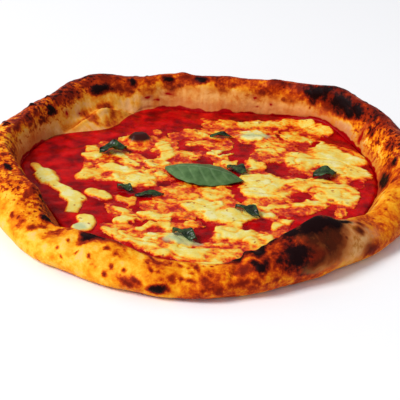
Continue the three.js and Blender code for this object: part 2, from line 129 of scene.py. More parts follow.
def sections_of(node):
    """The centre in mm, then the radii and heights of each section, from the top middle down and back."""
    bm = bmesh.new()
    bm.from_mesh(node.data)
    bmesh.ops.remove_doubles(bm, verts=bm.verts, dist=1e-6)
    poles = sorted((v for v in bm.verts if len(v.link_edges) >= SECTIONS), key=lambda v: -v.co.z)
    top, bottom = poles[0], poles[-1]
    centre = top.co.xy.copy()

    def turn_of(vertex):
        out = vertex.co.xy - centre
        return round(math.atan2(out.y, out.x) / math.tau * SECTIONS) % SECTIONS

    sections = [None] * SECTIONS
    for edge in top.link_edges:
        vertex, before = edge.other_vert(top), top
        turn, chain = turn_of(vertex), [(0, top.co.z)]
        while vertex is not bottom:
            chain.append(((vertex.co.xy - centre).length, vertex.co.z))
            near = [e.other_vert(vertex) for e in vertex.link_edges]
            onward = [v for v in near if v not in (before, top, bottom) and turn_of(v) == turn]
            before, vertex = vertex, onward[0] if onward else bottom
        sections[turn] = chain + [(0, bottom.co.z)]
    bm.free()
    return np.array(centre) / MM, np.array(sections) / MM


centre, crust_sections = sections_of(nodes["crust"])
print("sections of the crust:", crust_sections.shape, "about", centre.round(2))

# %% [markdown]
# A Catmull-Rom curve passes through all its points without corners, and needs only the two
# points on either side of each stretch, so a change in one place stays local.

# %% A smooth curve through rows of points
def curve_through(values, at, closed=False):
    """Values of the curve at fractional row numbers."""
    count, whole = len(values), np.floor(at).astype(int)

    def row(step):
        near = whole + step
        return values[near % count if closed else np.clip(near, 0, count - 1)]

    a, b, c, d = (row(step) for step in (-1, 0, 1, 2))
    share = (at - whole).reshape(-1, *[1] * (values.ndim - 1))
    return b + share / 2 * (c - a + share * (2 * a - 5 * b + 4 * c - d + share * (3 * (b - c) + d - a)))


step_up = np.array([0, 0, 1, 1])
print("up a smooth step:", curve_through(step_up, np.array([1, 1.25, 1.5, 1.75, 2])).round(2))

# %% [markdown]
# A closed round shell starts as a flat grid, one column for each step round the pizza and one
# line for each ring from the top middle to the bottom middle. The grid is bent to its shaped
# places. Its first and last columns then lie on each other and its ends lie in two points, so
# merging the doubles along its edge closes it.

# %% Bend a grid into a shell
def mesh_of(bm, name):
    """The bmesh as a mesh of its own."""
    mesh = bpy.data.meshes.new(name)
    bm.to_mesh(mesh)
    bm.free()
    return mesh


def wrapped_shell(name, places, **layers):
    """A mesh through places[step, ring], with its numbers painted on."""
    steps, rings = places.shape[:2]
    bm = bmesh.new()
    bmesh.ops.create_grid(bm, x_segments=steps, y_segments=rings - 1, size=0.5)
    mesh = mesh_of(bm, name)
    flat = points_of(mesh) * MM + 0.5
    step = np.rint(flat[:, 0] * steps).astype(int) % steps
    ring = np.rint(flat[:, 1] * (rings - 1)).astype(int)
    set_points(mesh, places[step, ring])
    paint(mesh, **{layer: values[step, ring] for layer, values in layers.items()})
    print(name, "is bent from", steps, "columns and", rings, "rings")
    return mesh

# %% [markdown]
# A piece of the pizza is finished when its skin is closed and faces outwards. It then rides on
# the only body and stands for one of the frame's solids.

# %% Close a piece and give it its part
def in_scene(name, data):
    """A new object at the origin."""
    thing = bpy.data.objects.new(name, data)
    bpy.context.scene.collection.objects.link(thing)
    return thing


def finished(mesh, node):
    """Closes the mesh, faces it outward, shades it smooth and lets it stand for its solid."""
    bm = bmesh.new()
    bm.from_mesh(mesh)
    bmesh.ops.remove_doubles(bm, verts=[v for v in bm.verts if v.is_boundary], dist=1e-6)
    bmesh.ops.recalc_face_normals(bm, faces=bm.faces)
    for face in bm.faces:
        face.smooth = True
    bm.to_mesh(mesh)
    bm.free()
    piece = in_scene(mesh.name, mesh)
    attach(piece, "root")
    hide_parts(node)
    print(mesh.name, "has", sum(len(polygon.vertices) - 2 for polygon in mesh.polygons), "triangles")
    return piece

# %% [markdown]
# ## The baked rim
# The rings lie close together on the rim, where the eye looks, and far apart under the sauce.
# Between the sections the surface follows the smooth curves.

# %% Lay rings over the crust
CRUST_STEPS = 1024
RINGS_PER_ROW = 5
UNDER_SAUCE_ROWS = 3  # rings of the solid that the sauce hides
last_row = crust_sections.shape[1] - 2  # the last ring before the middle of the underside
crust_rows = np.concatenate([
    np.arange(1, UNDER_SAUCE_ROWS),
    np.arange(UNDER_SAUCE_ROWS, last_row, 1 / RINGS_PER_ROW),
    [last_row],
])
by_row = crust_sections.transpose(1, 0, 2)
by_ring = curve_through(by_row[1:-1], crust_rows - 1)
by_ring = np.concatenate([by_row[:1], by_ring, by_row[-1:]])  # the two poles stay out of the curve
section_numbers = np.arange(CRUST_STEPS) * SECTIONS / CRUST_STEPS
rim_shape = curve_through(by_ring.transpose(1, 0, 2), section_numbers, closed=True)
rim_shape[..., 1] = np.maximum(rim_shape[..., 1], 0)
print("rings:", len(by_ring), "steps:", CRUST_STEPS)

# %% [markdown]
# A place on the rim has two angles: its turn round the pizza, counter-clockwise from the right,
# and its roll round the roll of dough, 0 straight out, 90 on top and 180 towards the sauce.

# %% Find the turn and roll of every place
WIDEST_SHARE = 0.42  # of the crest's height, where the rim is widest
LEAST_ROLL_RADIUS = 4  # mm, so that spots near the middle of the roll keep a size


def round_points(radius, height, angle):
    """Points from their radius, height and angle about the centre."""
    return np.stack(np.broadcast_arrays(radius * np.cos(angle), radius * np.sin(angle), height), axis=-1)


turn = np.arange(CRUST_STEPS)[:, None] * 360 / CRUST_STEPS
angle = np.radians(turn)
radius, height = rim_shape[..., 0], rim_shape[..., 1]
highest = crust_sections[..., 1].argmax(axis=1)
crest = curve_through(crust_sections[np.arange(SECTIONS), highest], section_numbers, closed=True)
out_from_roll = radius - crest[:, :1]
up_from_roll = height - WIDEST_SHARE * crest[:, 1:]
roll = np.degrees(np.arctan2(up_from_roll, out_from_roll))
roll = np.where(roll < -90, roll + 360, roll)
roll_radius = np.maximum(np.hypot(out_from_roll, up_from_roll), LEAST_ROLL_RADIUS)
rim_points = round_points(radius, height, angle)
print("crest:", crest[:, 1].min().round(1), "to", crest[:, 1].max().round(1), "mm high")

# %% [markdown]
# An oven with a wood fire burns the dough in spots, where thin blisters rise. Each spot is listed
# by its place and by half its length round the rim and up it. The paint it leaves is soft, 1 in
# the middle and 0.5 at the edge, its outline is pushed about by clouds, and the material cuts it off.

# %% Paint a list of spots on the rim
RIM_RADIUS = 140  # mm, about
SPOT_REACH = 2.2  # half-lengths from its middle that a spot is worked out over
SPARE_STEPS = 8
FULLY_RAGGED = 4.5  # mm: half the length of the largest spot that is ragged all through
ragged = [0.65 * cloud(rim_points, 4, 3, seed=seed) for seed in (1, 2)]


def spots(marks, strengths=None):
    """The deepest paint at every place, from marks of turn, roll, half-length and half-height."""
    depth = np.zeros(radius.shape)
    strengths = np.ones(len(marks)) if strengths is None else strengths
    for (mark_turn, mark_roll, half_along, half_up), strength in zip(marks, strengths):
        half = max(half_along, half_up)
        wide = int(SPOT_REACH * half / RIM_RADIUS / math.tau * CRUST_STEPS) + SPARE_STEPS
        steps = (round(mark_turn / 360 * CRUST_STEPS) + np.arange(-wide, wide + 1)) % CRUST_STEPS
        around = (turn[steps] - mark_turn + 180) % 360 - 180
        along = np.radians(around) * radius[steps] / half_along
        up = np.radians((roll[steps] - mark_roll + 180) % 360 - 180) * roll_radius[steps] / half_up
        shift = min(1, FULLY_RAGGED / half)
        distance = np.hypot(along + shift * ragged[0][steps], up + shift * ragged[1][steps])
        depth[steps] = np.maximum(depth[steps], strength * np.clip(1 - distance / 2, 0, 1))
    return depth


print("a spot of 10 mm covers", (spots([(90, 90, 5, 5)]) > 0.5).sum(), "places")

# %% [markdown]
# The lists hold the black blisters, the brown scorch marks and the wide golden patches. Each row
# is a spot's turn and roll in degrees, half its length round the rim and half its length up it.

# %% List the black, brown and golden spots
CHARRED = [
    (304, 82, 12, 7), (298, 96, 7, 7), (315, 78, 8, 2), (292, 104, 4, 4), (287, 102, 8, 3.4),
    (282, 108, 6, 3.4), (310, 74, 8, 5), (296, 34, 8.4, 6.6), (227, 99, 3.6, 3), (243, 104, 7, 4.6),
    (129, 134, 7, 3.4), (153, 114, 3, 2.6), (104, 104, 4.4, 2), (92, 103, 3.4, 2.6), (117, 105, 2.4, 2.6),
    (52, 101, 6.3, 2.6), (48, 98, 3.9, 2.6), (42, 108, 9, 4), (39, 117, 5, 2.6), (36, 108, 6, 2.6),
    (202, 73, 3.4, 1.8), (263, 5, 4.6, 2), (2, 112, 4.4, 2), (175, 78, 2.2, 1.4), (158, 76, 1.8, 1.3),
    (150, 74, 1.8, 1.2), (358, 168, 6, 4.6), (286, 47, 3.8, 3.4), (1, 184, 6, 4),
]
BROWNED = [
    (301, 21, 9.2, 6.4), (287, 49, 4, 4.7), (290, 32, 1.8, 1.8), (282, 36, 1.6, 1.7), (282, 14, 2.8, 1.6),
    (285, 10, 2.3, 1.9), (290, 8, 2.6, 1.3), (321, -2, 8, 4.7), (229, 60, 2.9, 2.2), (228, 42, 3.4, 2.6),
    (223, 62, 1.7, 1.4), (233, 68, 2, 1.4), (244, 81, 2.4, 2.5), (247, 110, 2.6, 1.5), (251, 108, 1.7, 1),
    (256, 105, 1.7, 1), (260, 100, 4.5, 1.5), (273, 100, 1.8, 1), (249, 58, 1.6, 1.4), (238, 19, 1.5, 1.1),
    (243, 33, 1.2, 1.2), (246, 27, 1.2, 1.2), (240, 11, 1.3, 1), (239, 40, 1.9, 1.3), (252, 22, 1.2, 1.1),
    (251, 8, 1.7, 1.2), (257, 3, 3.4, 2.1), (259, 12, 1.7, 1.2), (266, 29, 2.7, 2.4), (261, 53, 1.7, 1.3),
    (265, 76, 1.1, 2), (271, 75, 1.7, 2), (270, 30, 2.7, 1.5), (273, 32, 2.2, 2.5), (273, 9, 1.6, 1.1),
    (276, 9, 2.9, 2.4), (195, 74, 2.4, 1.9), (187, 118, 3, 1), (189, 108, 2.5, 1), (211, 85, 2, 1.8),
    (217, 67, 2, 1.9), (220, 29, 2.3, 1.5), (212, 43, 1.1, 1), (166, 96, 5.4, 3.5), (167, 116, 2.3, 1.4),
    (161, 102, 3.1, 1.6), (178, 93, 3.3, 2.4), (174, 104, 7.4, 2), (122, 139, 4, 4.6), (118, 139, 2.3, 2.3),
    (103, 129, 5.5, 4.7), (111, 108, 3.1, 2.7), (100, 123, 2.3, 1.6), (97, 99, 7.1, 2.9),
    (80, 111, 3.5, 3.2), (70, 119, 5, 2.4), (67, 98, 7.4, 2.8), (58, 99, 3, 2.4), (53, 150, 1.2, 1.5),
    (36, 84, 9, 6), (32, 89, 7.6, 5), (24, 96, 4, 2.6), (0, 186, 14, 7), (22, 62, 6, 5.6),
    (142, 112, 8, 4.6), (127, 108, 10, 3.6), (119, 128, 4.6, 5), (216, 90, 6, 4), (206, 96, 6, 4),
    (46, 103, 14, 7), (94, 106, 9, 3), (80, 112, 2.8, 2.4), (230, 108, 5, 3), (195, 78, 3, 1.8),
    (103, 124, 2.6, 3.4), (165, 96, 4, 2.4), (216, 72, 2.6, 2), (309, 50, 8, 12), (306, 66, 8, 8),
    (256, 7, 3.4, 2.2), (258, 14, 3, 1.8), (250, 96, 7, 2.6), (262, 88, 4, 2.4), (244, 100, 9, 5.4),
    (249, 103, 5, 3), (282, 46, 4, 3.6), (252, 24, 1.4, 1.2), (255, 26, 1.5, 1.3), (268, 32, 2.4, 1.6),
    (358, 166, 14, 9), (2, 188, 10, 7), (353, 150, 5, 4), (46, 96, 13, 6), (38, 100, 12, 6), (4, 136, 7, 5),
    (142, 109, 10, 4.6), (133, 108, 9, 4.6), (127, 98, 12, 5), (147, 104, 7, 4), (111, 106, 5, 3),
    (308, 62, 12, 10), (306, 40, 10, 14), (301, 48, 7, 9),
]
TOASTED = [
    (139, 184, 4.4, 3.3), (131, 186, 9, 4.6), (148, 161, 2.6, 2.7), (324, 16, 10, 8), (329, 36, 9, 6),
    (158, 128, 6, 4), (112, 140, 5, 4), (60, 128, 6, 4), (84, 130, 5, 4), (252, 60, 6, 5), (234, 44, 6, 6),
    (262, 40, 7, 6), (222, 28, 6, 5), (270, 100, 6, 3), (212, 60, 6, 5), (256, 8, 9, 3),
]
char_depth = spots(CHARRED)
brown_depth = spots(BROWNED)
toast = smooth_step(0.3, 0.8, spots(TOASTED))
print("spots:", len(CHARRED), "black,", len(BROWNED), "brown,", len(TOASTED), "golden")

# %% [markdown]
# The specks between the big spots, and the burns on the outside at the back, follow no list. They
# are scattered from one seed. The specks are mostly small and mostly on top, where the heat of the
# oven's roof reached the dough.

# %% Scatter the specks
scatter = np.random.default_rng(5)
SPECKS = 560
speck_size = 0.9 + 2.4 * scatter.random(SPECKS) ** 2.5
specks = np.stack([
    scatter.uniform(0, 360, SPECKS),
    scatter.normal(78, 38, SPECKS),
    speck_size * scatter.uniform(0.8, 1.6, SPECKS),
    speck_size,
], axis=1)
FAR_SIDE = -5, 185  # turns whose outside gets burns of its own
BURNS = 46
burns = np.stack([
    scatter.uniform(*FAR_SIDE, BURNS),
    scatter.normal(40, 26, BURNS),
    scatter.uniform(2, 6.5, BURNS),
    scatter.uniform(1.6, 4.5, BURNS),
], axis=1)
speck_strength = scatter.uniform(0.3, 1, SPECKS)
brown_depth = np.maximum(brown_depth, spots(specks, speck_strength))
brown_depth = np.maximum(brown_depth, spots(burns))
BLACK_INSIDE = burns[::3] * (1, 1, 0.6, 0.6)  # every third burn
char_depth = np.maximum(char_depth, spots(BLACK_INSIDE))
print("scattered:", SPECKS, "specks and", BURNS, "burns")

# %% [markdown]
# Between the spots the dough has a tone that changes slowly, from cream where the sauce kept it
# cool to red-brown on the crest. The table gives it at seven rolls for each turn, from the
# underside over the belly, the shoulder and the crest down the inner wall, in hundredths: 0 is
# cream, 20 golden, 40 orange, 60 rust and 80 dark brown. On the left the tones are kept lighter,
# as painted light against the shade that falls there.

# %% Bake the slow tones
GOLDEN, DARK_BROWN = 0.46, 0.86
TONE_ROLLS = [-60, 0, 45, 90, 118, 145, 175]
TONES = {
    0: (40, 44, 50, 54, 40, 26, 24),
    15: (44, 50, 58, 54, 36, 22, 16),
    32: (42, 50, 60, 72, 46, 18, 10),
    50: (42, 50, 62, 74, 50, 16, 6),
    70: (42, 48, 60, 70, 46, 14, 5),
    92: (42, 48, 60, 66, 38, 12, 5),
    112: (42, 48, 60, 68, 44, 14, 5),
    130: (42, 48, 60, 72, 56, 22, 6),
    # painted light: the rows from 148 to 200 lie on the left, which the main light leaves in shade, and are
    # kept lighter
    148: (42, 48, 58, 66, 42, 12, 8),
    166: (40, 46, 48, 50, 34, 18, 10),
    185: (36, 38, 36, 32, 28, 24, 22),
    200: (34, 32, 32, 34, 36, 36, 34),
    215: (30, 24, 30, 46, 56, 54, 50),
    230: (32, 26, 28, 42, 54, 52, 45),
    245: (42, 28, 22, 36, 52, 48, 42),
    258: (54, 40, 25, 36, 52, 48, 42),
    272: (56, 50, 38, 34, 46, 48, 46),
    284: (48, 52, 52, 52, 52, 50, 50),
    292: (40, 56, 62, 66, 68, 60, 55),
    302: (34, 62, 70, 74, 76, 66, 60),
    314: (26, 44, 52, 60, 64, 60, 55),
    326: (40, 48, 48, 44, 38, 34, 32),
    342: (44, 46, 46, 38, 28, 22, 20),
}
tone_turns = np.array(list(TONES))
tone_rows = np.array(list(TONES.values())) / 100
eased = np.interp(turn[:, 0], [*tone_turns, 360], np.arange(len(TONES) + 1))
tones_round = curve_through(tone_rows, eased, closed=True)
bake = np.stack([np.interp(roll[k], TONE_ROLLS, tones_round[k]) for k in range(CRUST_STEPS)])
dough_blotches = 0.22 * cloud(rim_points, 13, 2, seed=10) + 0.18 * cloud(rim_points, 5, 2, seed=12)
bake += (0.55 + 0.8 * bake) * dough_blotches
bake += toast * (GOLDEN - bake)
singed = smooth_step(0.04, 0.45, char_depth)
bake += 0.85 * singed * (DARK_BROWN - bake)  # round the black
print("tone:", bake.min().round(2), "to", bake.max().round(2))

# %% [markdown]
# Rising dough stretches its skin. On the inner wall that leaves fine streaks running up from the
# sauce, which are long up the wall and short round it, so the cloud is squeezed that way. Pits,
# speckles and flour each keep to zones: spots with an even edge.

# %% Streaks, pits, speckles and flour
ROLL_RADIUS = 14  # mm, about
SQUEEZE = 6
streak_points = round_points(RIM_RADIUS, np.radians(roll) * ROLL_RADIUS / SQUEEZE, angle)
streaks = cloud(streak_points, 2.6, 2, seed=3)


def zone(*mark):
    """1 inside one mark, 0 outside it."""
    return smooth_step(0.25, 0.75, spots([mark]))


inner_wall = smooth_step(112, 140, roll)
folded = zone(134, 183, 44, 30)  # the fold, described below
streaky = np.maximum(0.6 * inner_wall, zone(180, 95, 40, 16))
pitted = np.maximum(zone(22, 140, 36, 20), 0.6 * zone(12, 118, 20, 9))
SPECKLED = [(22, 140, 36, 20), (12, 112, 24, 14), (200, 84, 66, 22), (218, 108, 20, 14), (150, 92, 66, 14)]
speckled = np.maximum.reduce([zone(*mark) for mark in SPECKLED])
FLOURY = [(312, 32, 25, 15), (304, 8, 14, 5), (303, 55, 9, 9)]
floury = np.maximum.reduce([zone(*mark) for mark in FLOURY])
bake += 0.3 * inner_wall * np.abs(cloud(rim_points, 10, 2, seed=16))
# painted shade: the inner wall at the back and on the left gets the duller ramp of the dough
painted_wall_shade = smooth_step(106, 142, roll) * smooth_step(30, 60, turn) * smooth_step(215, 190, turn)
# the fold keeps only half of this painted shade
painted_wall_shade *= 1 - 0.5 * folded
print("zones:", len(SPECKLED), "speckled and", len(FLOURY), "floury")

# %% [markdown]
# Sauce that boiled against the wall stained its foot and splashed it here and there. Its reddish band
# up the foot of the wall is also painted shade where the wall meets the sauce. The fold hangs over
# the sauce and stayed clean.

# %% Stain the wall with sauce
STAINS = [
    (141, 180, 3, 1.6), (109, 179, 4, 1.5), (66, 178, 2.3, 1.6), (71, 190, 3, 1), (30, 188, 4, 7),
    (104, 158, 5, 2), (112, 166, 4, 2), (72, 150, 3, 2), (147, 156, 1.9, 2.7), (30, 168, 2, 8),
]
STAIN_HEIGHT = 2.6  # mm over the sauce, more or less
SAUCE_LINE = slice(UNDER_SAUCE_ROWS, UNDER_SAUCE_ROWS + 1)  # the ring where sauce and wall meet
above_sauce = height - height[:, SAUCE_LINE]
splashed = above_sauce - STAIN_HEIGHT - 2.2 * cloud(rim_points, 9, 2, seed=4)
splashed += 9 * folded - 0.7 * cloud(rim_points, 3, 1, seed=15)
# painted shade as well as stain: a reddish band up the foot of the inner wall
foot_stain_and_shade = inner_wall * (smooth_step(13, 0, splashed) * 0.6 + 0.45 * smooth_step(0.8, -0.8, splashed))
stain = np.maximum(spots(STAINS), foot_stain_and_shade)
print("stains:", len(STAINS), "and the foot of the wall")

# %% [markdown]
# At the back left the rim was folded inwards over itself before baking. The fold has a ridge, made
# here as a raised line between two places, with a dented crease behind it that is darkened as
# painted shade. In front, where two ends of the rim were pressed together, a shallow groove runs
# over the roll of dough, dented and a little darkened as painted shade.

# %% Sharpen the fold
RIDGE = (-103, 50), (-52, 98)  # ends of the fold's ridge, in mm from the rim's centre
RIDGE_BOW = 3  # mm
ridge_start = np.array(RIDGE[0])
ridge_way = np.array(RIDGE[1]) - ridge_start
ridge_length = np.hypot(*ridge_way)
ridge_way = ridge_way / ridge_length
from_start = rim_points[..., :2] - ridge_start
along_ridge = from_start @ ridge_way / ridge_length
behind_ridge = from_start @ (-ridge_way[1], ridge_way[0])
behind_ridge += RIDGE_BOW * (2 * along_ridge - 1) ** 2 + 0.8 * cloud(rim_points, 8, 2, seed=14)
on_fold = smooth_step(0, 0.2, along_ridge) * smooth_step(1, 0.75, along_ridge)
ridge = on_fold * np.exp(-((behind_ridge / 1.8) ** 2))
crease = on_fold * np.exp(-(((behind_ridge - 3.6) / 1.6) ** 2))
GROOVE_TURN = 280.5
GROOVE_LEAN = 0.04  # degrees of turn for each degree of roll
from_groove = turn - GROOVE_TURN - GROOVE_LEAN * (roll - 60)
groove = np.exp(-((from_groove / 0.8) ** 2)) * smooth_step(15, 45, roll) * smooth_step(135, 95, roll)
# painted shade: the crease and the groove are darkened
bake += 0.3 * crease + 0.12 * groove
print("ridge:", ridge_length.round(1), "mm long")

# %% [markdown]
# The skin itself is raised: soft swellings everywhere, knobs where a black blister stands up,
# dents at the pits and along the crease and the groove, and one low stretch of the crest. It moves
# in or out along the normal, found from the neighbouring places.

# %% Raise the skin
SKIN_STARTS = 3  # mm inside the sauce line
LOW_STRETCH = 236, 95, 20, 16
SHOULDER_RING = 60  # a ring on the outer shoulder of the rim, whose normals point away from the centre
to_next = np.roll(rim_points, -1, axis=0) - np.roll(rim_points, 1, axis=0)
outward = np.cross(np.gradient(rim_points, axis=1), to_next)
outward /= np.maximum(np.linalg.norm(outward, axis=-1, keepdims=True), 1e-9)
away = outward[..., 0] * np.cos(angle) + outward[..., 1] * np.sin(angle)
outward *= np.sign(away[:, SHOULDER_RING, None, None])
KNOBS = [
    (175, 78, 3, 2), (158, 76, 2.4, 2), (150, 74, 2.4, 2), (227, 99, 5, 5), (2, 106, 5, 3),
    (129, 136, 8, 5),
]
knobs = smooth_step(0.2, 0.9, spots(KNOBS))
pits = pitted * smooth_step(0.25, 0.6, cloud(rim_points, 2.4, 1, seed=5))
lift = (0.45 * cloud(rim_points, 9, 2, seed=6) + 0.22 * cloud(rim_points, 3, 2, seed=7)
        + 0.3 * streaky * streaks + 1.3 * knobs + 0.5 * smooth_step(0.45, 0.8, char_depth) - 0.55 * pits
        + 1.2 * ridge - 2.6 * crease - 1.6 * groove - 3 * zone(*LOW_STRETCH))
on_rim = smooth_step(0, 4, radius - (radius[:, SAUCE_LINE] - SKIN_STARTS)) * smooth_step(0.2, 3, height)
skin = rim_points + outward * (lift * on_rim)[..., None]
skin[..., 2] = np.maximum(skin[..., 2], 0)
skin[..., :2] += centre
print("skin raised by", lift.min().round(1), "to", lift.max().round(1), "mm")
underneath = (np.arange(len(by_ring)) >= len(by_ring) - 2) * np.ones(radius.shape)
crust_mesh = wrapped_shell(
    "pizza_crust", skin, bake=bake, char=char_depth, brown=brown_depth, stain=stain, flour=floury, pit=pits,
    wall=painted_wall_shade, speck=speckled, streak=streaks * streaky, under=underneath,
)
crust = finished(crust_mesh, "crust")

# %% [markdown]
# ## The tomato sauce
# Crushed tomato spread with a ladle: a wet, nearly level sheet with soft lumps of pulp, which
# meets the wall of dough all round. It is bent like the crust and follows the sections of its own
# solid. Its edge is pushed a little way into the dough, so no gap shows under it.

# %% Spread the sauce
SAUCE_STEPS = 720
SAUCE_RINGS = 104
EDGE_INTO_DOUGH = 3, -1.2  # mm outwards and upwards
PULP_FADES = 5  # mm from the edge
UNDERSIDE_DROP = 0.3  # mm, into the base
_, sauce_sections = sections_of(nodes["sauce"])
edge_row = sauce_sections[..., 0].mean(axis=0).argmax()
shares = np.arange(SAUCE_RINGS + 1) / SAUCE_RINGS
sauce_turns = np.arange(SAUCE_STEPS) * SECTIONS / SAUCE_STEPS
sauce_angle = np.arange(SAUCE_STEPS)[:, None] * math.tau / SAUCE_STEPS
sauce_round = curve_through(sauce_sections, sauce_turns, closed=True)
sauce_shape = np.stack([
    np.stack([shares * line[-1, 0], np.interp(shares * line[-1, 0], line[:, 0], line[:, 1])], axis=-1)
    for line in sauce_round[:, : edge_row + 1]
])
level = sauce_shape[:, 0, 1].min()  # the juice stands level right up to the wall of dough
sauce_shape[..., 1] = np.maximum(sauce_shape[..., 1], level)
sauce_shape[:, -1] += EDGE_INTO_DOUGH
sauce_points = round_points(sauce_shape[..., 0], 0, sauce_angle)
pulp = 0.7 * cloud(sauce_points, 12, 2, seed=8) + 0.4 * np.abs(cloud(sauce_points, 5, 2, seed=9))
fading = smooth_step(0, PULP_FADES, sauce_shape[:, -1:, 0] - sauce_shape[..., 0])
sauce_points[..., 2] = sauce_shape[..., 1] + pulp * fading
below = sauce_round[:, edge_row + 1 :]
under_points = round_points(below[..., 0], below[..., 1] - UNDERSIDE_DROP, sauce_angle)
sauce_points = np.concatenate([sauce_points, under_points], axis=1)
sauce_points[..., :2] += centre
pulp_all = np.pad(pulp, ((0, 0), (0, sauce_points.shape[1] - pulp.shape[1])))
print("sections of the sauce:", sauce_sections.shape, "level at", level.round(2), "mm")
sauce = finished(wrapped_shell("tomato_sauce_layer", sauce_points, pulp=pulp_all), "sauce")

# %% [markdown]
# ## The melted mozzarella
# Torn pieces of cheese melted into pools that ran together, with a thin orange film of fat and
# tomato between them. A grid of points over the toppings gets a height from this list of pools,
# so neighbours blend as melted cheese does. Where it would lie below the sauce it is cut away.
#
# A row holds a pool's middle in mm from the centre, half its length, half its width, the turn of
# its length and how rich it is: 30 is an orange film, 60 amber, 80 pale yellow and 100 thick and
# white. A window is bare sauce inside the sheet.

# %% List the pools of cheese
POOLS = [
    (-74, 22, 12, 5.5, 88, 80), (-72, -8, 10, 9, -82, 68), (-50, -7, 22, 7, -39, 88),
    (-42, -13, 14, 7, -13, 84), (-51, 14, 11, 4, -56, 82), (-25, 32, 14, 4.5, -86, 80),
    (-28, 13, 10, 5.5, 20, 82), (-28, -3, 4, 4.5, 10, 72), (-44, 41, 11, 9, -46, 46),
    (-32, 61, 4, 4, 11, 50), (-6, 65, 9, 5, -3, 60), (2, 88, 4, 4, 11, 50), (16, 89, 6, 5, 11, 52),
    (7, 62, 4, 4, 10, 62), (-1, 49, 7, 4.5, 10, 66), (12, 36, 7, 4, -7, 92), (-9, 30, 9, 4, 16, 58),
    (-36, -22, 11, 4, 5, 78), (-10, -26, 10, 9, 15, 52), (-45, -41, 6, 3, 2, 62), (6, -27, 8, 8, -13, 64),
    (19, 22, 8, 4, -9, 70), (-42, 18, 7, 5, -36, 42), (17, 86, 6, 5, -2, 52), (44, 90, 20, 6, 14, 68),
    (38, 69, 11, 8, 5, 100), (71, 96, 14, 5.5, -7, 62), (68, 69, 9, 7, 3, 70), (90, 85, 9, 5, -36, 62),
    (86, 58, 12, 9, -37, 80), (49, 51, 12, 8, 0, 70), (40, 21, 6, 6, -3, 85), (87, 40, 28, 11, 6, 86),
    (102, 21, 15, 9, -27, 84), (70, 28, 11, 8, -29, 80), (45, -2, 17, 10, 3, 80), (44, -17, 16, 8, 0, 74),
    (75, -1, 17, 7, 4, 82), (75, -9, 13, 5, 14, 76), (95, -12, 15, 10, -88, 86), (103, -12, 8, 4, 90, 84),
    (82, -20, 8, 6, -24, 82), (-44, -42, 7, 3.5, -21, 60), (-48, -58, 6, 5, -57, 80),
    (-41, -67, 6, 4.5, -24, 84), (-26, -60, 11, 4.5, 1, 76), (-4, -33, 10, 5.5, -6, 66),
    (3, -43, 14, 6, 12, 78), (21, -54, 16, 8, 9, 90), (24, -73, 13, 8, 46, 86), (36, -79, 12, 7, 27, 72),
    (-24, -72, 11, 5, 14, 78), (-29, -89, 5, 3, 51, 86), (-19, -86, 8, 3, -1, 88), (-6, -86, 9, 6, -7, 98),
    (-2, -101, 13, 8, -8, 82), (-42, -88, 15, 4.5, -30, 74), (-20, -101, 13, 4, -24, 74),
    (4, -109, 15, 4, -7, 70), (-2, -67, 5, 4, -32, 62), (-23, -95, 5, 3, -7, 50), (13, -102, 9, 8, -49, 42),
    (14, -91, 3, 3, -26, 74), (23, -99, 7, 6, 21, 62), (38, -19, 10, 9, 4, 80), (43, -49, 5, 5, -4, 84),
    (13, -19, 10, 6, 4, 44), (60, -34, 19, 4, 18, 74), (85, -24, 9, 4, 4, 70), (53, -60, 10, 5, 47, 80),
]
LOOSE_POOLS = {
    "cheese_crescent": [
        (-107, -9, 8, 3.4, -60, 78), (-100, -19, 11, 6.6, -60, 90), (-88, -33, 10, 4, -42, 84),
        (-78, -44, 9, 5.8, -52, 90), (-76, -56, 9, 4.4, 82, 86),
    ],
    "cheese_oval": [(-63, -38, 9.8, 4.8, -28, 86)],
    "cheese_scrap": [(-66, -73, 8, 5.4, -72, 82), (-68, -81, 6.4, 4.6, 0, 98)],
}
WINDOWS = [
    (-12, 44, 5, 4, -2), (2, 26, 4, 4.5, -18), (-22, -15, 5, 4.5, -1), (-32, 25, 3, 3, -35),
    (-53, -21, 7, 4, 10), (28, 28, 7, 5, -41), (52, 15, 8, 5, -23), (73, 11, 6, 3, 10), (108, 4, 6, 6, 16),
    (66, -23, 7, 6, 3), (16, 37, 4, 3, 37), (54, 69, 7, 2.5, -73), (80, 62, 8, 3, 48), (-10, -63, 6, 3, 3),
    (4, -83, 5, 4, -18), (38, -63, 9, 7, 9), (-36, -55, 5, 5, -8), (-31, -69, 9, 2.5, 13),
    (10, -71, 5, 3.5, -31), (23, -20, 7, 5, -4), (55, -53, 6, 3, 15),
]
print("pools:", len(POOLS), "windows:", len(WINDOWS))

# %% [markdown]
# Cheese and leaves lie on what is below them. A ray cast straight down finds how high that is.

# %% Feel for the surface below
SKY = 0.1  # m: rays start this high


def tree_of(*objects):
    """The objects' faces, ready for rays."""
    bm = bmesh.new()
    for one in objects:
        bm.from_mesh(one.data)
    tree = BVHTree.FromBMesh(bm)
    bm.free()
    return tree


def heights_on(tree, flat, missing=0):
    """How high the first surface under each point is, in mm."""
    hits = (tree.ray_cast(Vector((x * MM, y * MM, SKY)), Vector((0, 0, -1)))[0] for x, y in flat[:, :2])
    return np.array([missing if hit is None else hit.z / MM for hit in hits])


sauce_tree = tree_of(sauce)
print("sauce at the middle:", heights_on(sauce_tree, centre[None]).round(1), "mm high")

# %% [markdown]
# The grid is warped before a pool's distance is measured, so every outline wanders and has
# threads. Pieces that met leave long thin seams, and curds make the thin parts patchy.

# %% Work out how much cheese lies where
BENDS = [(11, 4.2), (4.5, 2.4), (2, 1)]  # mm: the size of a bend and how far it goes
LOOSE_BEND = 0.35  # the loose pieces keep smoother outlines
SEAM_DEPTH, SEAM_WIDTH = 0.34, 0.06


def wandering(flat, seed):
    """Steps in x and y, in mm, that bend straight outlines."""
    return np.column_stack([
        sum(far * cloud(flat, size, 1, seed=seed + 7 * axis + k) for k, (size, far) in enumerate(BENDS))
        for axis in (0, 1)
    ])


